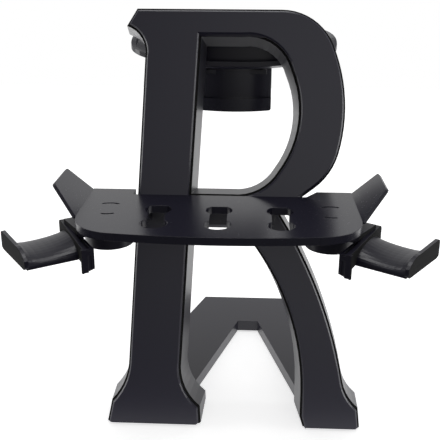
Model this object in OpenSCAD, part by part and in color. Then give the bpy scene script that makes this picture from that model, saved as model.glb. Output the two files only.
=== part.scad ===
// Headset stand: a leaning letter upright on a notched base, with a shelf, two controller arms,
// a headset cradle and a cable hook

/* [Letter upright] */
// height of the upright measured along its leaning face
letter_h = 300; // [285:1:320]
// angle the upright leans back from vertical, degrees
letter_lean = 14.9; // [13:0.1:16.5]
// depth of the upright from front face to back face
letter_depth = 36; // [32:0.5:42]
// how much wider the rear shell is at the back, each side
letter_draft = 2.3; // [0.5:0.1:2.5]
// thickness of the front cover at its edge
cover_edge = 3.2; // [2.6:0.1:4]
// width of the bevel round the front cover
cover_bevel = 1; // [0.5:0.1:1.4]
// height of the shadow groove between cover and shell
groove_h = 1.3; // [0.8:0.1:1.8]
// depth of the shadow groove
groove_in = 1; // [0.6:0.1:1.3]
// wall thickness of the hollow shell
shell_wall = 2.5; // [2:0.1:3]
// width of the straight stem
stem_w = 38.2; // [34:0.2:42]
// height of the bar across the top of the letter
top_bar = 19; // [17:0.5:21]
// height of the lower edge of the closed opening
counter_floor = 171; // [170.5:0.1:172.5]
// height of the top of the gap between the legs
gap_top = 147; // [140:0.5:148]

/* [Base plate] */
// top of the base plate above the floor
base_top = 10.3; // [9.5:0.1:13]
// rear edge of the base plate behind the front foot line
base_rear = 195; // [180:1:215]
// far wall of the notch behind the front foot line
notch_rear = 147; // [138:1:155]
// wall thickness of the hollow base plate
base_wall = 2.5; // [2:0.1:3.2]
// how far the rubber pads lift the plastic off the floor
pad_lift = 0.8; // [0.5:0.1:1.2]
// radius of a rubber pad
pad_r = 6; // [5:0.5:7]

/* [Shelf] */
// height of the shelf top above the floor
shelf_top = 164.4; // [163:0.1:165]
// thickness of the shelf plate
shelf_t = 5.2; // [4.6:0.1:5.8]
// half of the shelf width between the two wings
shelf_half = 93; // [90.5:0.5:97]
// depth of the shelf behind the front foot line
shelf_back = 55.6; // [52:0.2:60]
// radius of the round lobes of the shelf holes
hole_r = 8.9; // [7:0.1:9.5]
// spacing of the shelf holes
hole_pitch = 40.7; // [38:0.1:42]
// length of a slanting wing
wing_len = 24.3; // [18:0.1:30]
// angle of a wing above horizontal, degrees
wing_tilt = 49; // [40:1:60]
// thickness of a wing
wing_t = 2.4; // [2:0.1:3]

/* [Controller arms] */
// sideways distance from the middle to the arm hub
hub_x = 74.7; // [73:0.1:76]
// distance of the arm hub behind the front foot line
hub_y = 13; // [12:0.1:14]
// angle the arms point forward, degrees
arm_turn = 34; // [30:1:38]
// radius of the round hub
hub_r = 16.5; // [14:0.1:17.5]
// depth of the hub under the shelf
hub_t = 18.4; // [14:0.2:20]
// thickness of the neck between hub and stop wall
neck_t = 6.4; // [5:0.1:7]
// distance from hub axis to the outer face of the stop wall
wall_u = 32; // [30:0.2:34]
// turn of the stop wall against the end lip, degrees
wall_turn = 4; // [0:0.5:6]
// distance from hub axis to the outer face of the end lip
lip_u = 67; // [62:0.2:70]
// height of the top of the end lip above the floor
lip_top = 154.4; // [152:0.1:158]
// thickness of the saddle shell
saddle_t = 2.5; // [2:0.1:3]

/* [Headset cradle] */
// middle of the cradle, to the right of the shelf middle
cradle_x = 5.5; // [3:0.5:8]
// full width of the cradle
cradle_w = 159; // [150:1:175]
// depth of the cradle from front edge to back
cradle_d = 54; // [50:1:57]
// thickness of the cradle shell
cradle_t = 2.8; // [2.4:0.1:3.6]
// width of the hanging cable hook
hook_w = 59.6; // [50:0.2:64]

/* [Fastening] */
// radius of the screw shank
screw_r = 1.4; // [1.2:0.05:1.6]
// radius of the screw head
head_r = 2.9; // [2.6:0.1:3.1]
// play between a shank and its hole, on the radius
play = 0.05; // [0.04:0.01:0.1]

/* [Hidden] */
eps = 0.01;
low = pad_lift;
cl = cos(letter_lean);
sl = sin(letter_lean);
hole_pilot = screw_r + play;
hole_head = head_r + 0.2;
head_h = 1.8;
boss_r = 4;

// points of an arc from p to q that bulges by s to the left of the way from p to q
function bow(p, q, s, n = 8) =
  let (c = q - p, l = norm(c), m = (p + q) / 2, nn = [-c[1], c[0]] / l, t = c / l, g = s > 0 ? 1 : -1)
  let (r = (l * l / 4 + s * s) / (2 * abs(s)), o = m + nn * (s - g * r), h = asin(min(1, l / 2 / r)))
  [for (i = [0:n]) let (b = -h + 2 * h * i / n) o + r * (g * nn * cos(b) + t * sin(b))];

// points of a round arc about a centre
function arc(c, r, a0, a1, n = 10) =
  [for (i = [0:n]) let (a = a0 + (a1 - a0) * i / n) c + r * [cos(a), sin(a)]];

// the outline moved outward by d with sharp corners
function unit(v) = v / norm(v);
function grow(p, d) =
  let (n = len(p))
  [for (i = [0:n - 1])
    let (a = unit(p[i] - p[(i + n - 1) % n]), b = unit(p[(i + 1) % n] - p[i]))
    let (na = [a[1], -a[0]], nb = [b[1], -b[0]])
    p[i] + d * (na + nb) / (1 + na * nb)];

// outline of the letter seen from the front, walked anticlockwise from its top left corner
stem_lean = 0.0486;
function stem_x(h) = -68 + stem_lean * h;
hb = letter_h - 300;
outer = concat(
  [[-60.7, letter_h]],
  bow([-68, letter_h - 12], [stem_x(letter_h - 34), letter_h - 34], 4.9, 8),
  bow([stem_x(50), 50], [-78.1, 18.5], 3.2, 7),
  [[-81.2, 2.4], [-78.3, 0], [-15.8, 0], [-12.7, 2.9]],
  bow([-13.5, 15.3], [stem_x(50) + stem_w, 50], 5, 7),
  [[stem_x(gap_top) + stem_w, gap_top]],
  bow([13.8, gap_top], [59.8, 28], 11.9, 14),
  [[59.6, 10], [62.6, 0], [100.3, 0], [103, 3]],
  bow([101.5, 17.2], [89.8, 36.7], 2, 5),
  bow([89.8, 36.7], [41.5, 158], -6.6, 12),
  bow([65.7, 176.2], [82.1, 200.5], -2.4, 6),
  bow([82.1, 200.5], [76.5, 276.3 + hb], -6.4, 12),
  bow([76.5, 276.3 + hb], [40, letter_h], -6.6, 10));
outline = [for (i = [0:len(outer) - 1]) if (i == 0 || norm(outer[i] - outer[i - 1]) > 0.2) outer[i]];
counter_top = letter_h - top_bar;
inner = concat(
  [[stem_x(counter_top) + stem_w + 0.4, counter_top]],
  [[stem_x(counter_floor) + stem_w, counter_floor]],
  bow([7.4, counter_floor], [40.2, 188.1], -5.4, 8),
  bow([40.2, 188.1], [47.6, 258.5 + hb], -9.4, 12),
  bow([47.6, 258.5 + hb], [13.5, counter_top], -7.6, 9));
counter = [for (i = [0:len(inner) - 1]) if (i == 0 || norm(inner[i] - inner[i - 1]) > 0.2) inner[i]];

// a solid through outlines that all have the same number of points, each given as [height, points]
module loft(s) {
  n = len(s[0][1]);
  m = len(s);
  polyhedron(
    points = [for (q = s) for (p = q[1]) [p[0], p[1], q[0]]],
    faces = concat(
      [[for (i = [0:n - 1]) i]],
      [[for (i = [n - 1:-1:0]) (m - 1) * n + i]],
      [for (j = [0:m - 2]) for (i = [0:n - 1]) [j * n + i, (j + 1) * n + (i + 1) % n, j * n + (i + 1) % n]],
      [for (j = [0:m - 2]) for (i = [0:n - 1]) [j * n + i, (j + 1) * n + i, (j + 1) * n + (i + 1) % n]]),
    convexity = 10);
}

// the leaning plane of the letter: x across, y up the face, z toward the viewer
module lean() {
  rotate([90 - letter_lean, 0, 0]) children();
}

// a point of the leaning plane in room coordinates
function room(x, h, z) = [x, h * sl - z * cl, h * cl + z * sl];

module above(z) {
  translate([-200, -200, z]) cube([400, 600, 500]);
}

cover_back = -cover_edge;
shell_top = -cover_edge - groove_h;
back = -letter_depth;
cover_screw_at = [[-36, letter_h - 38], [66, letter_h - 41], [-40, 190], [69, 216], [-45, 92], [60, 95],
  [-47, 28], [79, 28]];
seat_z = -16;
spigot_z = cover_back - 3;

// front cover: bevelled plate with a locating rib and screw bosses behind it
module letter_front_cover() {
  color([0.13, 0.13, 0.14]) difference() {
    intersection() {
      lean() union() {
        difference() {
          loft([[cover_back, grow(outline, 0)], [-cover_bevel, outline], [0, grow(outline, -cover_bevel)]]);
          loft([[cover_back - 1, counter], [-cover_bevel, counter], [0, grow(counter, cover_bevel)],
            [1, grow(counter, cover_bevel)]]);
        }
        translate([0, 0, spigot_z]) linear_extrude(cover_back - spigot_z + 0.5, convexity = 8) difference() {
          polygon(grow(outline, -shell_wall - 0.15));
          polygon(grow(outline, -shell_wall - 1.75));
        }
        for (p = cover_screw_at) translate([p[0], p[1], seat_z + 4]) cylinder(r = boss_r, h = 10, $fn = 24);
      }
      above(low + 3.2);
    }
    lean() {
      for (p = cover_screw_at) translate([p[0], p[1], seat_z]) cylinder(r = hole_pilot, h = 13, $fn = 24);
      for (p = shelf_screw_at) translate([p[0], p[1], -10]) cylinder(r = hole_pilot, h = 20, $fn = 24);
    }
  }
  // plain lower edge of the cover down to the floor plane
  color([0.13, 0.13, 0.14]) intersection() {
    lean() loft([[cover_back, outline], [-cover_bevel, outline], [0, grow(outline, -cover_bevel)]]);
    translate([-200, -50, low]) cube([400, 100, 3.2 + eps]);
  }
}

// rear shell: hollow drafted body with a stepped rim, back wall, floor walls and screw tubes
module letter_rear_shell() {
  color([0.11, 0.11, 0.12]) difference() {
    intersection() {
      lean() union() {
        difference() {
          union() {
            loft([[back, grow(outline, letter_draft)], [shell_top, outline]]);
            translate([0, 0, shell_top - 1]) linear_extrude(groove_h + 1, convexity = 8)
              polygon(grow(outline, -groove_in));
          }
          loft([[back - 1, grow(counter, -letter_draft)], [back, grow(counter, -letter_draft)],
            [shell_top, counter]]);
          translate([0, 0, shell_top]) linear_extrude(10, convexity = 8) polygon(grow(counter, groove_in));
          shell_hollow();
        }
        for (p = cover_screw_at) translate([p[0], p[1], back + eps])
          cylinder(r = boss_r + 0.8, h = seat_z + 4 - back - eps, $fn = 24);
        for (p = shelf_screw_at) translate([p[0], p[1], back + eps])
          cylinder(r = boss_r + 0.8, h = cover_back - back - eps, $fn = 24);
      }
      above(low);
    }
    lean() {
      for (p = cover_screw_at) translate([p[0], p[1], 0]) {
        translate([0, 0, seat_z - 1]) cylinder(r = screw_r + 0.2, h = 8, $fn = 24);
        translate([0, 0, back - 1]) cylinder(r = hole_head, h = seat_z - back + 1, $fn = 24);
      }
      for (p = shelf_screw_at) translate([p[0], p[1], 0]) {
        translate([0, 0, seat_z - 1]) cylinder(r = screw_r + 0.2, h = 20, $fn = 24);
        translate([0, 0, back - 1]) cylinder(r = hole_head, h = seat_z - back + 1, $fn = 24);
      }
      for (p = cradle_screw_at) translate([p[0], p[1], back - 1]) cylinder(r = hole_pilot, h = 9, $fn = 24);
    }
    for (x = lug_x) {
      translate([x - lug_w / 2 - 0.2, 15, low + floor_wall]) cube([lug_w + 0.4, 60, lug_t + 0.2]);
      translate([x, lug_screw_y, -1]) cylinder(r = screw_r + 0.2, h = 6, $fn = 24);
      translate([x, lug_screw_y, -1]) cylinder(r = hole_head, h = low + 1 + head_h, $fn = 24);
    }
    for (p = letter_pads) translate([p[0], p[1], -1])
      cylinder(r = pad_r + 0.1, h = 1 + low + pad_sink, $fn = 32);
  }
}

// inside of the rear shell
module shell_hollow() {
  difference() {
    translate([0, 0, back + shell_wall]) linear_extrude(60, convexity = 8) difference() {
      polygon(grow(outline, -shell_wall));
      polygon(grow(counter, shell_wall));
    }
    // solid floor walls of the two feet
    rotate([letter_lean - 90, 0, 0]) translate([-200, -100, -50]) cube([400, 300, 50 + low + floor_wall]);
    // posts that take the cradle screws
    for (p = cradle_screw_at) translate([p[0], p[1], back]) cylinder(r = boss_r, h = 12, $fn = 24);
  }
}

floor_wall = 3;
lug_x = [-48, 79];
lug_w = 26;
lug_t = 6;
lug_screw_y = 28;
pad_sink = 0.9;
letter_pads = [[-68, 13], [-27, 13], [72, 13], [91, 13]];
base_pads = [[-8, base_rear - 12], [49, base_rear - 12], [-55, 60], [79, 60]];

// outline of the base plate from above, walked anticlockwise
function base_side_l(y) = -31.7 + (y - 163.3) * 0.343;
function base_side_r(y) = 62.2 - (y - 195) * 0.221;
base_out = [[base_side_l(base_rear), base_rear], [base_side_l(30), 30], [-24.6, 30], [11.6, notch_rear],
  [29.4, notch_rear], [61.5, 30], [base_side_r(30), 30], [base_side_r(base_rear), base_rear]];

module behind_letter(gap) {
  difference() {
    children();
    lean() translate([-200, -100, back - gap]) cube([400, 100 + letter_h + 100, 300]);
  }
}

// base plate: hollow moulding with ribs, two lugs that enter the feet, and pad sockets
module base_plate() {
  color([0.12, 0.12, 0.13]) difference() {
    union() {
      behind_letter(0) difference() {
        translate([0, 0, low]) linear_extrude(base_top - low) polygon(base_out);
        difference() {
          translate([0, 0, -1]) linear_extrude(base_top - base_wall + 1, convexity = 6)
            polygon(grow(base_out, -base_wall));
          for (y = [58, 84, 110, 136, 166]) translate([-120, y, low + 0.6]) cube([240, 1.6, 30]);
          for (x = [-40, -10, 19.7, 50, 78]) translate([x, 20, low + 0.6]) cube([1.6, 200, 30]);
          for (p = base_pads) translate([p[0], p[1], -2]) cylinder(r = pad_r + 2, h = 30, $fn = 32);
          behind_wall();
        }
      }
      for (x = lug_x) translate([x - lug_w / 2, 18, low + floor_wall]) cube([lug_w, 30, lug_t]);
      for (x = lug_x) behind_letter(0)
        translate([x - lug_w / 2, 34, low]) cube([lug_w, 12, base_top - low - 1]);
    }
    for (x = lug_x) translate([x, lug_screw_y, -1])
      cylinder(r = hole_pilot, h = low + floor_wall + lug_t, $fn = 24);
    for (p = base_pads) translate([p[0], p[1], -1])
      cylinder(r = pad_r + 0.1, h = 1 + low + pad_sink, $fn = 32);
  }
}

// wall along the leaning front end of the base plate
module behind_wall() {
  lean() translate([-200, -100, back - base_wall]) cube([400, 200, 60]);
}

// waist of the shelf where it meets the leaning letter
shelf_y = shelf_top * sl / cl;
shelf_screw_at = [[-44, 158], [28, 158]];
hub_slots = [[10.9, 58, 122], [10.9, 240, 285]];
module shelf_plan() {
  difference() {
    union() {
      intersection() {
        translate([-shelf_half, -60]) square([2 * shelf_half, 60 + shelf_back]);
        union() {
          translate([0, 463]) circle(r = 500, $fn = 400);
        }
        union() {
          translate([-shelf_half, -2.8]) square([2 * shelf_half, 100]);
          translate([-shelf_half + 30, -60]) square([2 * shelf_half - 60, 100]);
          for (s = [-1, 1]) translate([s * (shelf_half - 30), -2.8]) circle(r = 30, $fn = 72);
        }
      }
    }
    for (i = [-1:1]) translate([i * hole_pitch, 0]) {
      translate([0, 12.8]) circle(r = hole_r, $fn = 48);
      translate([0, -14]) circle(r = hole_r, $fn = 48);
      translate([-5.75, -14]) square([11.5, 26.8]);
    }
  }
}

// a bent slot or rib about a hub axis
module bent(r, w, a0, a1) {
  polygon(concat(arc([0, 0], r - w / 2, a0, a1, 12), arc([0, 0], r + w / 2, a1, a0, 12)));
}

// shelf: plate with three holes, two wings and a flange screwed to the face of the letter
module shelf_tray() {
  color([0.12, 0.12, 0.13]) difference() {
    union() {
      difference() {
        translate([0, 0, shelf_top - shelf_t]) linear_extrude(shelf_t, convexity = 8) shelf_plan();
        // clearance round the stem and the bowl of the letter
        translate([0, 0, shelf_top - shelf_t - 1]) linear_extrude(shelf_t + 2)
          polygon([[-62.3, 30], [58.6, 30], [58.6, shelf_y - 1.3], [60.9, shelf_y + 1.1], [69, shelf_back + 1],
            [-62.3, shelf_back + 1]]);
      }
      // front part of the waist, cut parallel to the letter
      intersection() {
        translate([-63, 20, shelf_top - shelf_t]) cube([122.8, 40, shelf_t]);
        lean() translate([-200, 0, 0]) cube([400, 400, 60]);
      }
      // flange on the face of the letter with two screw bosses
      lean() translate([-52, 150, 0]) cube([90, 17, 3]);
      lean() for (p = shelf_screw_at) translate([p[0], p[1], 0]) cylinder(r = boss_r, h = 9, $fn = 24);
      // stiffening ribs under the plate
      for (x = [-50, -21.3, 19.4]) intersection() {
        translate([x, 12, shelf_top - shelf_t - 14]) cube([1.8, 40, 15]);
        lean() translate([-100, 0, 0]) cube([300, 300, 60]);
        rotate([90, 0, 90]) translate([0, 0, -100]) linear_extrude(300)
          polygon([[14, shelf_top - 2], [14, shelf_top - shelf_t], [40, shelf_top - shelf_t - 13],
            [60, shelf_top - 2]]);
      }
      for (s = [-1, 1]) wing(s);
    }
    for (s = [-1, 1]) translate([s * hub_x, hub_y, shelf_top - shelf_t - 1]) {
      for (q = hub_slots) linear_extrude(20) scale([s, 1]) bent(q[0], 1.9, q[1], q[2]);
      cylinder(r = hole_pilot, h = 1 + shelf_t - 1.2, $fn = 24);
    }
    lean() for (p = shelf_screw_at) translate([p[0], p[1], -1]) cylinder(r = hole_pilot, h = 8.5, $fn = 24);
  }
}

// slanting wing along a side of the shelf, with rounded top corners
module wing(s) {
  translate([s * shelf_half, 0, shelf_top]) scale([s, 1, 1]) rotate([0, -wing_tilt, 0])
    translate([-3, 0, -wing_t]) linear_extrude(wing_t) wing_plan();
}

module wing_plan() {
  l = wing_len + 3;
  polygon(concat([[0, shelf_back], [0, 2], [3, -3.8]], arc([l - 3.5, 11.5], 3.5, -62, 0, 6),
    arc([l - 3.5, shelf_back - 13.2], 3.5, 0, 62, 6)));
}

// height of the saddle surface at distance u from the hub and offset v across the arm
u1 = wall_u - 2;
u2 = lip_u - 2.5;
skirt_z = 143.2;
arch_z = 145.5;
function crest(u) = let (t = (u - u1) / (u2 - u1)) 149.4 + 4.8 * pow(1 - t, 3) + 2 * pow(max(0, t), 6);
v_mid = -5.5;
v_half = 19.5;
function saddle_z(u, w) = let (a = w / v_half) arch_z + (crest(u) - arch_z) * sqrt(max(0, 1 - a * a));
nu = 8;
nv = 16;

// controller arm for the right side: hub, neck, stop wall, sagging saddle and end lip
module arm_body() {
  top = shelf_top - shelf_t;
  difference() {
    union() {
      translate([0, 0, top - hub_t]) cylinder(r = hub_r, h = hub_t, $fn = 64);
      for (q = hub_slots) rotate([0, 0, arm_turn]) translate([0, 0, top - 0.5])
        linear_extrude(0.5 + shelf_t - 1.8) bent(q[0], 1.6, q[1] + 1, q[2] - 1);
      translate([4, -14, top - neck_t]) cube([wall_u - 8, 24, neck_t - 0.2]);
      // stop wall, turned a little so that its back end lies nearer the hub, with a channel behind it
      translate([wall_u + 1, -36, 0]) rotate([0, 0, wall_turn]) translate([0, 36, 0]) {
        rotate([90, 0, -90]) linear_extrude(3)
          polygon(concat([[36, 153.6], [36, 138], [31, skirt_z], [-16.5, 147.6]],
            arc([-13.5, 154.4], 3, 180, 90, 6)));
        translate([-5, 0, 0]) rotate([90, 0, -90]) linear_extrude(2)
          polygon([[36, 153.4], [36, 140], [25, 146], [-2, 149], [-2, 153.4]]);
        translate([-6.9, -36, 149.5]) cube([6.4, 38, 3]);
      }
      translate([wall_u - 6.2, -36, 0]) rotate([90, 0, 0]) translate([0, 0, -2]) linear_extrude(2)
        polygon([[0, 139.8], [8.2, 137.6], [8.2, 153.6], [0, 153.4]]);
      translate([u1 - 1, 0, 0]) saddle();
      end_lip();
    }
    translate([0, 0, top - hub_t - 1]) cylinder(r = screw_r + 0.2, h = hub_t + 2, $fn = 24);
    translate([0, 0, top - hub_t - 1]) cylinder(r = hole_head, h = 1 + hub_t - 4, $fn = 24);
    // moulded hollow round the screw tube
    difference() {
      translate([0, 0, top - hub_t - 1]) cylinder(r = hub_r - 2.4, h = 1 + hub_t - 4, $fn = 64);
      translate([0, 0, top - hub_t - 2]) cylinder(r = 6, h = 3 + hub_t, $fn = 32);
      for (a = [0, 60, 120]) rotate([0, 0, a]) translate([-20, -0.8, top - hub_t - 2]) cube([40, 1.6, hub_t]);
    }
  }
}

// thin curved shell of the saddle with straight skirts
module saddle() {
  us = [for (i = [0:nu]) i / nu * (u2 - u1 + 2)];
  function w_at(j) = let (a = -90 + 180 * j / nv) v_half * sin(a);
  function zc(i, j) = saddle_z(u1 + us[i], w_at(j));
  pts = concat(
    [for (i = [0:nu]) for (j = [0:nv]) [us[i], v_mid + w_at(j), zc(i, j)]],
    [for (i = [0:nu]) for (j = [0:nv])
      [us[i], v_mid + w_at(j) * (1 - saddle_t / v_half), zc(i, j) - saddle_t]]);
  m = nv + 1;
  o = m * (nu + 1);
  polyhedron(points = pts, faces = concat(
    [for (i = [0:nu - 1]) for (j = [0:nv - 1]) [i * m + j, i * m + j + 1, (i + 1) * m + j + 1]],
    [for (i = [0:nu - 1]) for (j = [0:nv - 1]) [i * m + j, (i + 1) * m + j + 1, (i + 1) * m + j]],
    [for (i = [0:nu - 1]) for (j = [0:nv - 1]) [o + i * m + j, o + (i + 1) * m + j + 1, o + i * m + j + 1]],
    [for (i = [0:nu - 1]) for (j = [0:nv - 1]) [o + i * m + j, o + (i + 1) * m + j, o + (i + 1) * m + j + 1]],
    [for (i = [0:nu - 1]) [i * m, (i + 1) * m, o + (i + 1) * m]],
    [for (i = [0:nu - 1]) [i * m, o + (i + 1) * m, o + i * m]],
    [for (i = [0:nu - 1]) [i * m + nv, o + (i + 1) * m + nv, (i + 1) * m + nv]],
    [for (i = [0:nu - 1]) [i * m + nv, o + i * m + nv, o + (i + 1) * m + nv]],
    [for (j = [0:nv - 1]) [j, o + j, o + j + 1]],
    [for (j = [0:nv - 1]) [j, o + j + 1, j + 1]],
    [for (j = [0:nv - 1]) [nu * m + j, nu * m + j + 1, o + nu * m + j + 1]],
    [for (j = [0:nv - 1]) [nu * m + j, o + nu * m + j + 1, o + nu * m + j]]), convexity = 6);
  // straight skirts below the curved shell
  translate([0, v_mid - v_half, skirt_z]) cube([us[nu], saddle_t, arch_z - skirt_z]);
  translate([0, v_mid + v_half - saddle_t, skirt_z]) cube([us[nu], saddle_t, arch_z - skirt_z]);
}

module end_lip() {
  translate([lip_u, 0, 0]) rotate([90, 0, -90]) linear_extrude(2.5)
    polygon(concat([[25.6, 146.5]], arc([22.6, 146.2], 3, 0, -90, 4), [[-20.5, 141.6], [-23.5, 142.6]],
      arc([-20.5, lip_top - 3], 3, 180, 90, 5), bow([8, lip_top], [25.6, 149.5], 2, 6)));
}

module right_controller_arm() {
  color([0.12, 0.12, 0.13]) translate([hub_x, hub_y, 0]) rotate([0, 0, -arm_turn]) arm_body();
}

module left_controller_arm() {
  color([0.12, 0.12, 0.13]) mirror([1, 0, 0])
    translate([hub_x, hub_y, 0]) rotate([0, 0, -arm_turn]) arm_body();
}

// headset cradle: dished tray with a raised rim, rising to the back, held by a bracket on the top bar
cradle_screw_at = [[-14, letter_h - 9.5], [25, letter_h - 9.5]];
cradle_y = room(0, letter_h - 31.5, back)[1] + 2;
cradle_z = room(0, letter_h - 31.5, back)[2] - 1.2;
rim_h = 3.6;
dish_in = 2.5;
floor_in = 2;
nt = 56;
// profile of the dish from the middle of the top to its rim, and back under it: [share of radius, height]
dish_top = [[0.3, -floor_in - dish_in], [0.6, -floor_in - dish_in * 0.8], [0.8, -floor_in - dish_in * 0.35],
  [0.9, -floor_in], [0.945, -floor_in + 0.4], [0.955, 0], [1, 0]];
dish_low = [[1, -rim_h], [0.9, -rim_h - 0.7], [0.8, -floor_in - dish_in * 0.4 - cradle_t],
  [0.6, -floor_in - dish_in * 0.8 - cradle_t], [0.3, -floor_in - dish_in - cradle_t]];
function super(a, n) = pow(pow(abs(cos(a)), n) + pow(abs(sin(a)), n), -1 / n);
function dish_xy(a, q) = q * super(a, 2.5) * [cradle_w / 2 * cos(a), cradle_d / 2 * sin(a)];
function dish_lift(x, y) = let (t = y + cradle_d / 2)
  -0.1 * t + 0.01 * t * t + 7.5 * pow(abs(x) / (cradle_w / 2), 2.5);
function dish_at(a, q, z) = let (v = dish_xy(a, q)) [v[0], v[1] + cradle_d / 2, z + dish_lift(v[0], v[1])];

// the dish itself, or with rise > 0 the dish and all the space above it
module dish_solid(rise = 0) {
  dish = concat([for (p = dish_top) [p[0], p[1] + rise]], dish_low);
  m = len(dish);
  polyhedron(
    points = concat(
      [for (p = dish) for (i = [0:nt - 1]) dish_at(360 * i / nt, p[0], p[1])],
      [dish_at(0, 0, rise - floor_in - dish_in), dish_at(0, 0, -floor_in - dish_in - cradle_t)]),
    faces = concat(
      [for (i = [0:nt - 1]) [m * nt, (i + 1) % nt, i]],
      [for (i = [0:nt - 1]) [m * nt + 1, (m - 1) * nt + i, (m - 1) * nt + (i + 1) % nt]],
      [for (j = [0:m - 2]) for (i = [0:nt - 1])
        [j * nt + i, j * nt + (i + 1) % nt, (j + 1) * nt + (i + 1) % nt]],
      [for (j = [0:m - 2]) for (i = [0:nt - 1]) [j * nt + i, (j + 1) * nt + (i + 1) % nt, (j + 1) * nt + i]]),
    convexity = 8);
}

module headset_cradle() {
  color([0.12, 0.12, 0.13]) difference() {
    union() {
      translate([cradle_x, cradle_y, cradle_z]) dish_solid();
      // flange on the back of the letter
      lean() translate([cradle_x - 27, letter_h - 17, back - 3]) cube([54, 15, 3]);
      // bracket arm from the flange to the rising rear of the dish, with two ribs
      behind_letter(0) translate([cradle_x - 22, cradle_y - 3, arm_z]) cube([44, arm_l, 3]);
      // short tubes for the screws of the cable hook
      for (x = hook_screw_x) translate([cradle_x + x, hook_screw_y, hook_top])
        cylinder(r = 3.6, h = cradle_z - floor_in - 2 - hook_top, $fn = 24);
      for (x = [-15, 13]) behind_letter(0)
        translate([cradle_x + x, cradle_y - 3, arm_z]) cube([2, arm_l - 3, 9]);
    }
    lean() for (p = cradle_screw_at) translate([p[0], p[1], back - 5])
      cylinder(r = screw_r + 0.2, h = 10, $fn = 24);
    for (x = hook_screw_x) translate([cradle_x + x, hook_screw_y, hook_top - 1])
      cylinder(r = hole_pilot, h = 4.6, $fn = 24);
  }
}
arm_z = cradle_z + 14;
arm_l = cradle_d - 2;

// cable hook: curved plate hanging below the cradle, with a top flange and a folded lower lip
hook_screw_x = [-16, 16];
hook_screw_y = cradle_y + 22;
hook_top = cradle_z - floor_in - dish_in - cradle_t - 0.5;
hook_low = cradle_z - 39.4;
hook_bend = hook_low + 7.5;

module cable_hook() {
  color([0.12, 0.12, 0.13]) difference() {
    union() {
      translate([cradle_x, cradle_y + 11, 0]) {
        hook_band(cradle_z, hook_bend + 1.1, 62, 3);
        hook_lip();
      }
      // top flange under the dish
      translate([cradle_x - hook_w / 2 + 4, cradle_y + 12.4, hook_top - 3]) cube([hook_w - 8, 17.6, 3]);
      for (x = [-24, -8, 8, 24])
        translate([cradle_x + x - 1, cradle_y + 12.7, hook_top - 1]) cube([2, 16.6, 9]);
    }
    translate([cradle_x, cradle_y, cradle_z]) dish_solid(60);
    for (x = hook_screw_x) translate([cradle_x + x, hook_screw_y, hook_top - 10])
      cylinder(r = screw_r + 0.2, h = 20, $fn = 24);
  }
}

module hook_band(z1, z0, r, t) {
  translate([0, r, z0]) linear_extrude(z1 - z0) intersection() {
    difference() {
      circle(r = r, $fn = 120);
      circle(r = r - t, $fn = 120);
    }
    translate([-hook_w / 2, -2 * r]) square([hook_w, r * 2]);
  }
}

// lower lip: the plate steps forward and hangs down with rounded lower corners
module hook_lip() {
  intersection() {
    union() {
      translate([0, -3, 0]) hook_band(hook_bend + 2.5, hook_bend, 66, 6.5);
      translate([0, -3, 0]) hook_band(hook_bend + 2.5, hook_low, 66, 3);
    }
    rotate([90, 0, 0]) translate([0, 0, -60]) linear_extrude(120) hull() {
      translate([-hook_w / 2, hook_bend]) square([hook_w, 5]);
      for (s = [-1, 1]) translate([s * (hook_w / 2 - 1.6), hook_low + 1.6]) circle(r = 1.6, $fn = 24);
    }
  }
}

module screw(len) {
  translate([0, 0, -head_h]) cylinder(r = head_r, h = head_h, $fn = 24);
  cylinder(r = screw_r, h = len, $fn = 24);
}

module cover_screws() {
  color([0.5, 0.5, 0.52]) lean() for (p = cover_screw_at) translate([p[0], p[1], seat_z]) screw(11);
}

module shelf_screws() {
  color([0.5, 0.5, 0.52]) lean() for (p = shelf_screw_at) translate([p[0], p[1], seat_z]) screw(22);
}

module base_screws() {
  color([0.5, 0.5, 0.52]) for (x = lug_x) translate([x, lug_screw_y, low + head_h]) screw(5.8);
}

module arm_screws() {
  color([0.5, 0.5, 0.52]) for (s = [-1, 1])
    translate([s * hub_x, hub_y, shelf_top - shelf_t - 4]) screw(7.6);
}

module cradle_screws() {
  color([0.5, 0.5, 0.52]) lean() for (p = cradle_screw_at) translate([p[0], p[1], back - 3]) screw(9);
}

module cable_hook_screws() {
  color([0.5, 0.5, 0.52]) for (x = hook_screw_x)
    translate([cradle_x + x, hook_screw_y, hook_top - 3]) screw(6);
}

module foot_pads() {
  color([0.05, 0.05, 0.05]) {
    for (p = letter_pads) translate([p[0], p[1], 0]) cylinder(r = pad_r, h = low + pad_sink, $fn = 32);
    for (p = base_pads) translate([p[0], p[1], 0]) cylinder(r = pad_r, h = low + pad_sink, $fn = 32);
  }
}

// the whole stand is moved so that its footprint box is centred on the origin
arm_front = hub_y - lip_u * sin(arm_turn) - 25.6 * cos(arm_turn);
shift_y = -(base_rear + arm_front) / 2;
translate([0, shift_y, 0]) {
  letter_front_cover();
  letter_rear_shell();
  base_plate();
  shelf_tray();
  left_controller_arm();
  right_controller_arm();
  headset_cradle();
  cable_hook();
  cover_screws();
  base_screws();
  shelf_screws();
  arm_screws();
  cradle_screws();
  cable_hook_screws();
  foot_pads();
}
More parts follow.
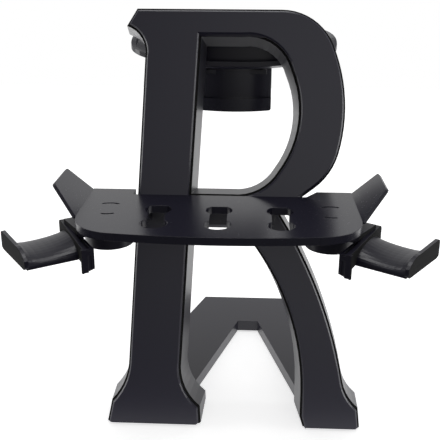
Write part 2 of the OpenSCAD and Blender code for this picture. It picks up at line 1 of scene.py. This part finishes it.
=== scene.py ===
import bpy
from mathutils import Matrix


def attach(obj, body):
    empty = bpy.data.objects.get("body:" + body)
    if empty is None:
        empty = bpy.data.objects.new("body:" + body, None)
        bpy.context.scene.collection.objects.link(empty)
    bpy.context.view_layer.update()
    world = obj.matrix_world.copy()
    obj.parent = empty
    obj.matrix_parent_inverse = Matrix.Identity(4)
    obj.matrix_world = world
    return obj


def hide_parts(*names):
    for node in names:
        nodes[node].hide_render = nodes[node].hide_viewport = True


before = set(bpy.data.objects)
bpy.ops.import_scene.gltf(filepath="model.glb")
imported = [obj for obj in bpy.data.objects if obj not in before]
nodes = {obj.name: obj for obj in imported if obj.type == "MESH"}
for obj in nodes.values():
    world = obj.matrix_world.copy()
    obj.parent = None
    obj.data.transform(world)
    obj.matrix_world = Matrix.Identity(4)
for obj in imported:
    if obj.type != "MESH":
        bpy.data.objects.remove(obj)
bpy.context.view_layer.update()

import itertools
import math

import bmesh
import bpy
from mathutils import Matrix, Vector

# fine grain of the mouldings, and the small radius on all their edges, in metres
GRAIN_SCALE = 900.0
GRAIN_DETAIL = 2.0
GRAIN_DEPTH = 0.0002
EDGE_RADIUS = 0.0004
EDGE_SAMPLES = 6


def add_node(tree, kind, inputs=None, **options):
    """Adds a shader node with its options, and fills its inputs with values or with links."""
    n = tree.nodes.new(kind)
    for key, value in options.items():
        setattr(n, key, value)
    for key, value in (inputs or {}).items():
        if isinstance(value, bpy.types.NodeSocket):
            tree.links.new(value, n.inputs[key])
        else:
            n.inputs[key].default_value = value
    return n


def ramp(tree, value, start, end, low=0.0, high=1.0, smooth=False):
    """Goes from low to high while a value goes from start to end."""
    inputs = {"Value": value, "From Min": start, "From Max": end, "To Min": low, "To Max": high}
    kind = "SMOOTHSTEP" if smooth else "LINEAR"
    return add_node(tree, "ShaderNodeMapRange", inputs, interpolation_type=kind).outputs["Result"]


def reach(tree, source, axis):
    """How far a position or a normal reaches along an axis."""
    dot = add_node(tree, "ShaderNodeVectorMath", {0: source, 1: axis}, operation="DOT_PRODUCT")
    return dot.outputs["Value"]


def combine(tree, operation, a, b):
    """A sum, a product or a comparison of two values."""
    return add_node(tree, "ShaderNodeMath", {0: a, 1: b}, operation=operation).outputs[0]


def position(tree):
    """The place on the stand, in metres."""
    return add_node(tree, "ShaderNodeTexCoord").outputs["Object"]


def face_normal(tree):
    """Which way the face of the mesh points."""
    return add_node(tree, "ShaderNodeNewGeometry").outputs["True Normal"]


def new_material(name, colour):
    """A plain material of one colour. Gives its node tree and its surface shader too."""
    m = bpy.data.materials.new(name)
    m.use_nodes = True
    surface = m.node_tree.nodes["Principled BSDF"]
    surface.inputs["Base Color"].default_value = (*colour, 1.0)
    return m, m.node_tree, surface


def plastic(name, colour, roughness, grain=0.06, bump=0.012):
    """Satin moulded plastic: nearly black, with a fine even grain in the gloss and softened edges."""
    m, t, surface = new_material(name, colour)
    surface.inputs["Specular IOR Level"].default_value = 0.5
    surface.inputs["IOR"].default_value = 1.5
    noise = add_node(t, "ShaderNodeTexNoise",
                     {"Vector": position(t), "Scale": GRAIN_SCALE, "Detail": GRAIN_DETAIL})
    gloss = ramp(t, noise.outputs["Fac"], start=0.0, end=1.0, low=roughness - grain / 2,
                 high=roughness + grain / 2)
    t.links.new(gloss, surface.inputs["Roughness"])
    soft = add_node(t, "ShaderNodeBevel", {"Radius": EDGE_RADIUS}, samples=EDGE_SAMPLES)
    relief = add_node(t, "ShaderNodeBump", {"Strength": bump, "Distance": GRAIN_DEPTH,
                                            "Height": noise.outputs["Fac"], "Normal": soft.outputs["Normal"]})
    t.links.new(relief.outputs["Normal"], surface.inputs["Normal"])
    return m


def overlay(material, mask, colour, roughness=None):
    """Gives the masked part of a material another colour, and another gloss if one is named."""
    t = material.node_tree
    surface = t.nodes["Principled BSDF"]
    base = surface.inputs["Base Color"]
    below = base.links[0].from_socket if base.links else base.default_value
    tint = add_node(t, "ShaderNodeMix", {0: mask, 6: below, 7: (*colour, 1.0)}, data_type="RGBA")
    t.links.new(tint.outputs[2], base)
    if roughness is not None:
        gloss = surface.inputs["Roughness"]
        matt = add_node(t, "ShaderNodeMix", {0: mask, 2: gloss.links[0].from_socket, 3: roughness},
                        data_type="FLOAT")
        t.links.new(matt.outputs[0], gloss)


def dress(node, material):
    """Gives one CAD piece its material, in all its slots."""
    o = nodes[node]
    if not o.material_slots:
        o.data.materials.append(material)
    for s in o.material_slots:
        s.material = material


# depth behind the leaning front face, in metres: 0 at the face, negative inside the letter
LEAN = math.radians(14.9)
OUT = Vector((0.0, -math.cos(LEAN), math.sin(LEAN)))
FACE_LINE_Y = -0.0746554
FACE = FACE_LINE_Y * math.cos(LEAN)
COVER_EDGE = 0.0032
GROOVE_END = 0.0046
UPWARD = (0.0, 0.0, 1.0)


def depth_of(point):
    """How far a point lies in front of the letter's face, negative inside the letter."""
    return OUT.dot(point) + FACE


def painted_floor_light_mask(tree):
    """The walls that face down near the top bar, where painted light, a lighter colour, stands in for the
    light from the white floor.
    """
    down = ramp(tree, reach(tree, face_normal(tree), UPWARD), start=-0.30, end=-0.85)
    high = ramp(tree, reach(tree, position(tree), UPWARD), start=0.205, end=0.235)
    return combine(tree, "MULTIPLY", down, high)


def painted_groove_shade_mask(tree):
    """Painted shade: the step and the groove between cover and shell, down to the floor of the groove."""
    return combine(tree, "GREATER_THAN", reach(tree, position(tree), OUT), -GROOVE_END - FACE)


shell_black = plastic("shell_black", (0.0150, 0.0145, 0.0240), 0.38)
# painted light: the down-facing walls near the top bar get a light grey base colour in place of the light
# from the floor
overlay(shell_black, painted_floor_light_mask(shell_black.node_tree), (0.20, 0.20, 0.21))
# painted shade: the step and groove between cover and shell are coloured near black and made matt
overlay(shell_black, painted_groove_shade_mask(shell_black.node_tree), (0.0015, 0.0015, 0.0015), 0.95)
dress("letter_rear_shell", shell_black)

# the cover's rim is set in from the shell by this step
RIM_STEP = 0.0015
WELD = 2e-6
FLAT_ANGLE = 0.004
DEPTH_PLAY = 5e-5
# faces that turn this far to the front or to the ground, or to the back, are no rim walls
FACING = 0.9
FACING_BACK = 0.3
SAME_WAY = 0.9995
SHARPEST_CORNER = 0.35


def rim_directions(vertex):
    """Which way the rim walls that meet at a vertex of the cover face, in the letter's plane."""
    found = []
    for f in vertex.link_faces:
        forward = f.normal.dot(OUT)
        if f.normal.z < -FACING or forward > FACING or forward < -FACING_BACK:
            continue
        if depth_of(f.calc_center_median()) < -COVER_EDGE:
            continue
        flat = f.normal - forward * OUT
        flat.normalize()
        if all(flat.dot(m) < SAME_WAY for m in found):
            found.append(flat)
    return found


def stepped_cover():
    """The front cover with its rim set in, so that the shell stands out all round it."""
    bm = bmesh.new()
    bm.from_mesh(nodes["letter_front_cover"].data)
    bmesh.ops.remove_doubles(bm, verts=bm.verts, dist=WELD)
    bmesh.ops.dissolve_limit(bm, angle_limit=FLAT_ANGLE, verts=bm.verts, edges=bm.edges)
    bm.normal_update()
    moves = {}
    for v in bm.verts:
        if depth_of(v.co) < -COVER_EDGE - DEPTH_PLAY:
            continue
        directions = rim_directions(v)
        if len(directions) == 1:
            moves[v] = -RIM_STEP * directions[0]
        elif directions:
            a, b = min(itertools.combinations(directions, 2), key=lambda pair: pair[0].dot(pair[1]))
            moves[v] = -RIM_STEP * (a + b) / max(1.0 + a.dot(b), SHARPEST_CORNER)
    for v, move in moves.items():
        v.co += move
    bmesh.ops.triangulate(bm, faces=bm.faces, quad_method="BEAUTY", ngon_method="BEAUTY")
    mesh = bpy.data.meshes.new("letter_cover_stepped")
    bm.to_mesh(mesh)
    bm.free()
    o = bpy.data.objects.new("letter_cover_stepped", mesh)
    bpy.context.scene.collection.objects.link(o)
    mesh.materials.clear()
    mesh.materials.append(plastic("cover_black", (0.0135, 0.0122, 0.0260), 0.33))
    return o


cover = stepped_cover()
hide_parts("letter_front_cover")
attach(cover, "root")

# ---------------------------------------------------------------- base plate
# A flat hollow moulding of the same plastic with a notch at the front. Its lugs enter the
# feet of the letter and are screwed from below.
dress("base_plate", plastic("base_black", (0.013, 0.012, 0.022), 0.30))

# ---------------------------------------------------------------- shelf
# Plastic plate with three holes and two slanting wings, smoother than the letter, so that
# its top mirrors the white room at both ends and the letter in the middle.
dress("shelf_tray", plastic("shelf_black", (0.012, 0.0113, 0.021), 0.26))

# ---------------------------------------------------------------- controller arms
# Two mirrored mouldings, each with a round hub under the shelf, a stop wall, a sagging saddle
# and an end lip. Same plastic, with broad soft highlights on the saddle.
ARM_TURN = math.radians(34.0)
HUB_X = 0.0747
HUB_Y = 0.013 + FACE_LINE_Y
HUB_REACH = 0.02


def arm_material(name, side):
    """Satin plastic, with painted shade on the outward faces of the stop wall and the end lip, which are made
    matt and nearly black.
    """
    m = plastic(name, (0.0100, 0.0092, 0.0180), 0.33)
    t = m.node_tree
    t.nodes["Principled BSDF"].inputs["Specular IOR Level"].default_value = 0.34
    axis = Vector((side * math.cos(ARM_TURN), -math.sin(ARM_TURN), 0.0))
    past_hub = axis.dot(Vector((side * HUB_X, HUB_Y, 0.0))) + HUB_REACH
    outward = ramp(t, reach(t, face_normal(t), axis), start=0.62, end=0.82)
    beyond = combine(t, "GREATER_THAN", reach(t, position(t), axis), past_hub)
    # painted shade: the faces that turn outward beyond the hub are coloured nearly black and made matt
    overlay(m, combine(t, "MULTIPLY", outward, beyond), (0.002, 0.002, 0.0025), 0.97)
    return m


dress("left_controller_arm", arm_material("arm_black_left", -1))
dress("right_controller_arm", arm_material("arm_black_right", 1))

# ---------------------------------------------------------------- headset cradle and cable hook
# Dished tray on a bracket behind the top bar, with the curved cable hook screwed under it.
# An upright web closes the space between the bracket arm and the dish.
cradle_black = plastic("cradle_black", (0.016, 0.015, 0.024), 0.30)
dress("headset_cradle", cradle_black)
dress("cable_hook", plastic("hook_black", (0.012, 0.0115, 0.018), 0.24))

WEB_HALF, WEB_THICK, WEB_SWEEP = 0.036, 0.0018, 0.0035
WEB_X, WEB_Y, WEB_LOW, WEB_HIGH = 0.0135, 0.0405, 0.2462, 0.2634
WEB_STEPS = 24


def cradle_web():
    """Thin upright wall, a little convex to the front."""
    bm = bmesh.new()
    rows = []
    for y_in, z in ((0.0, WEB_LOW), (0.0, WEB_HIGH), (WEB_THICK, WEB_HIGH), (WEB_THICK, WEB_LOW)):
        row = []
        for k in range(WEB_STEPS + 1):
            u = 2.0 * k / WEB_STEPS - 1.0
            row.append(bm.verts.new((WEB_X + WEB_HALF * u, WEB_Y + y_in + WEB_SWEEP * u * u, z)))
        rows.append(row)
    for a, b in zip(rows, rows[1:] + rows[:1]):
        for k in range(WEB_STEPS):
            bm.faces.new((a[k], a[k + 1], b[k + 1], b[k]))
    for k in (0, WEB_STEPS):
        bm.faces.new([row[k] for row in (rows if k else reversed(rows))])
    bmesh.ops.recalc_face_normals(bm, faces=bm.faces)
    mesh = bpy.data.meshes.new("cradle_web")
    bm.to_mesh(mesh)
    bm.free()
    o = bpy.data.objects.new("cradle_web", mesh)
    bpy.context.scene.collection.objects.link(o)
    mesh.materials.append(cradle_black)
    return o


web = cradle_web()
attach(web, "root")

# ---------------------------------------------------------------- screws
# Small steel screws with a dull zinc look, all of them sunk in the plastic: in the rear shell,
# under the base, under the shelf and the arms, and in the brackets at the top.
SCREW_NODES = ("cover_screws", "base_screws", "shelf_screws", "arm_screws", "cradle_screws",
               "cable_hook_screws")
screw_steel, screw_tree, steel = new_material("screw_steel", (0.36, 0.36, 0.37))
steel.inputs["Metallic"].default_value = 1.0
wear = add_node(screw_tree, "ShaderNodeTexNoise", {"Scale": 1200.0})
dulled = ramp(screw_tree, wear.outputs["Fac"], start=0.0, end=1.0, low=0.30, high=0.42)
screw_tree.links.new(dulled, steel.inputs["Roughness"])
for screws in SCREW_NODES:
    dress(screws, screw_steel)

# ---------------------------------------------------------------- rubber pads
# Eight dull black rubber discs glued in shallow sockets, on which the stand rests.
dress("foot_pads", plastic("pad_rubber", (0.01, 0.01, 0.01), 0.75, grain=0.1, bump=0.05))

# ---------------------------------------------------------------- floor
# Plain white studio floor, lit a little from below like a light table. It keeps the soft
# shadow of the stand and ends just in front of it, where the dimmer room begins.
FLOOR_FRONT, FLOOR_BACK, FLOOR_HALF_X = -0.13, 1.3, 2.0
bpy.ops.mesh.primitive_plane_add(size=2.0, location=(0.0, (FLOOR_FRONT + FLOOR_BACK) / 2, 0.0))
floor = bpy.context.object
floor.name = "studio_floor"
for v in floor.data.vertices:
    v.co.x *= FLOOR_HALF_X
    v.co.y *= (FLOOR_BACK - FLOOR_FRONT) / 2
paper_white, _, paper = new_material("studio_paper", (0.9, 0.9, 0.9))
paper.inputs["Roughness"].default_value = 0.9
paper.inputs["Specular IOR Level"].default_value = 0.0
paper.inputs["Emission Color"].default_value = (1.0, 1.0, 1.0, 1.0)
paper.inputs["Emission Strength"].default_value = 0.66
floor.data.materials.append(paper_white)

# ---------------------------------------------------------------- light
# White studio: a room that is bright behind the stand, dimmer above it and behind the camera,
# and darkest low in front, with large soft lamps at the left, at the right and above.
world = bpy.data.worlds.new("studio")
bpy.context.scene.world = world
world.use_nodes = True
wt = world.node_tree
wt.nodes.clear()
direction = add_node(wt, "ShaderNodeTexCoord").outputs["Generated"]
to_back = reach(wt, direction, (0.0, 1.0, 0.0))
to_top = reach(wt, direction, UPWARD)
to_window = reach(wt, direction, Vector((0.34, -0.90, 0.24)).normalized())

back_wall = ramp(wt, to_back, start=-0.35, end=0.55, low=0.0, high=0.68, smooth=True)
wall_height = ramp(wt, to_top, start=0.45, end=0.85, low=1.0, high=0.1, smooth=True)
window = ramp(wt, to_window, start=0.80, end=0.995, low=0.0, high=0.95, smooth=True)
dark_below = ramp(wt, to_top, start=-0.20, end=0.06, low=0.30, high=1.0, smooth=True)
ROOM_LEVEL = 0.31
front_room = combine(wt, "MULTIPLY", combine(wt, "ADD", window, ROOM_LEVEL), dark_below)
room = combine(wt, "ADD", combine(wt, "MULTIPLY", back_wall, wall_height), front_room)

lit_room = add_node(wt, "ShaderNodeBackground", {"Strength": room})
white_room = add_node(wt, "ShaderNodeBackground", {"Color": (1.0, 1.0, 1.0, 1.0), "Strength": 1.0})
seen = add_node(wt, "ShaderNodeLightPath").outputs["Is Camera Ray"]
shown = add_node(wt, "ShaderNodeMixShader",
                 {0: seen, 1: lit_room.outputs["Background"], 2: white_room.outputs["Background"]})
add_node(wt, "ShaderNodeOutputWorld", {"Surface": shown.outputs["Shader"]})


def softbox(name, at, aim, size, power):
    """A square soft lamp at a point, turned to another point."""
    lamp = bpy.data.lights.new(name, "AREA")
    lamp.shape = "SQUARE"
    lamp.size = size
    lamp.energy = power
    o = bpy.data.objects.new(name, lamp)
    bpy.context.scene.collection.objects.link(o)
    o.location = at
    o.rotation_mode = "QUATERNION"
    o.rotation_quaternion = (Vector(aim) - Vector(at)).to_track_quat("-Z", "Y")


softbox("lamp_top", (0.0, 0.2, 1.5), (0.0, 0.0, 0.1), size=0.7, power=7.0)
softbox("lamp_right", (1.25, -0.1, 0.25), (0.0, 0.0, 0.15), size=0.55, power=4.6)
softbox("lamp_left", (-1.25, -0.05, 0.25), (0.0, 0.0, 0.15), size=0.55, power=3.8)

# ---------------------------------------------------------------- camera
# A little above the stand, turned about two and a half degrees, on a 60 mm lens. The place was
# found from mirrored points of the arms, the shelf and the wings.
FOCAL_PX = 741.8
IMAGE_PX = 440.0
SENSOR_MM = 36.0
YAW, PITCH, ROLL = math.radians(-2.44), math.radians(20.34), math.radians(0.24)
EYE = Vector((0.0205, -0.5285, 0.3307))
ahead = Vector((math.sin(YAW) * math.cos(PITCH), math.cos(YAW) * math.cos(PITCH), -math.sin(PITCH)))
level_right = Vector((math.cos(YAW), -math.sin(YAW), 0.0))
level_up = level_right.cross(ahead)
right = math.cos(ROLL) * level_right + math.sin(ROLL) * level_up
up = -math.sin(ROLL) * level_right + math.cos(ROLL) * level_up
cam_data = bpy.data.cameras.new("camera")
cam_data.sensor_width = SENSOR_MM
cam_data.lens = FOCAL_PX / IMAGE_PX * SENSOR_MM
cam_data.clip_start = 0.01
cam = bpy.data.objects.new("camera", cam_data)
bpy.context.scene.collection.objects.link(cam)
cam.matrix_world = Matrix.Translation(EYE) @ Matrix((right, up, -ahead)).transposed().to_4x4()
bpy.context.scene.camera = cam
bpy.context.scene.view_settings.view_transform = "Standard"
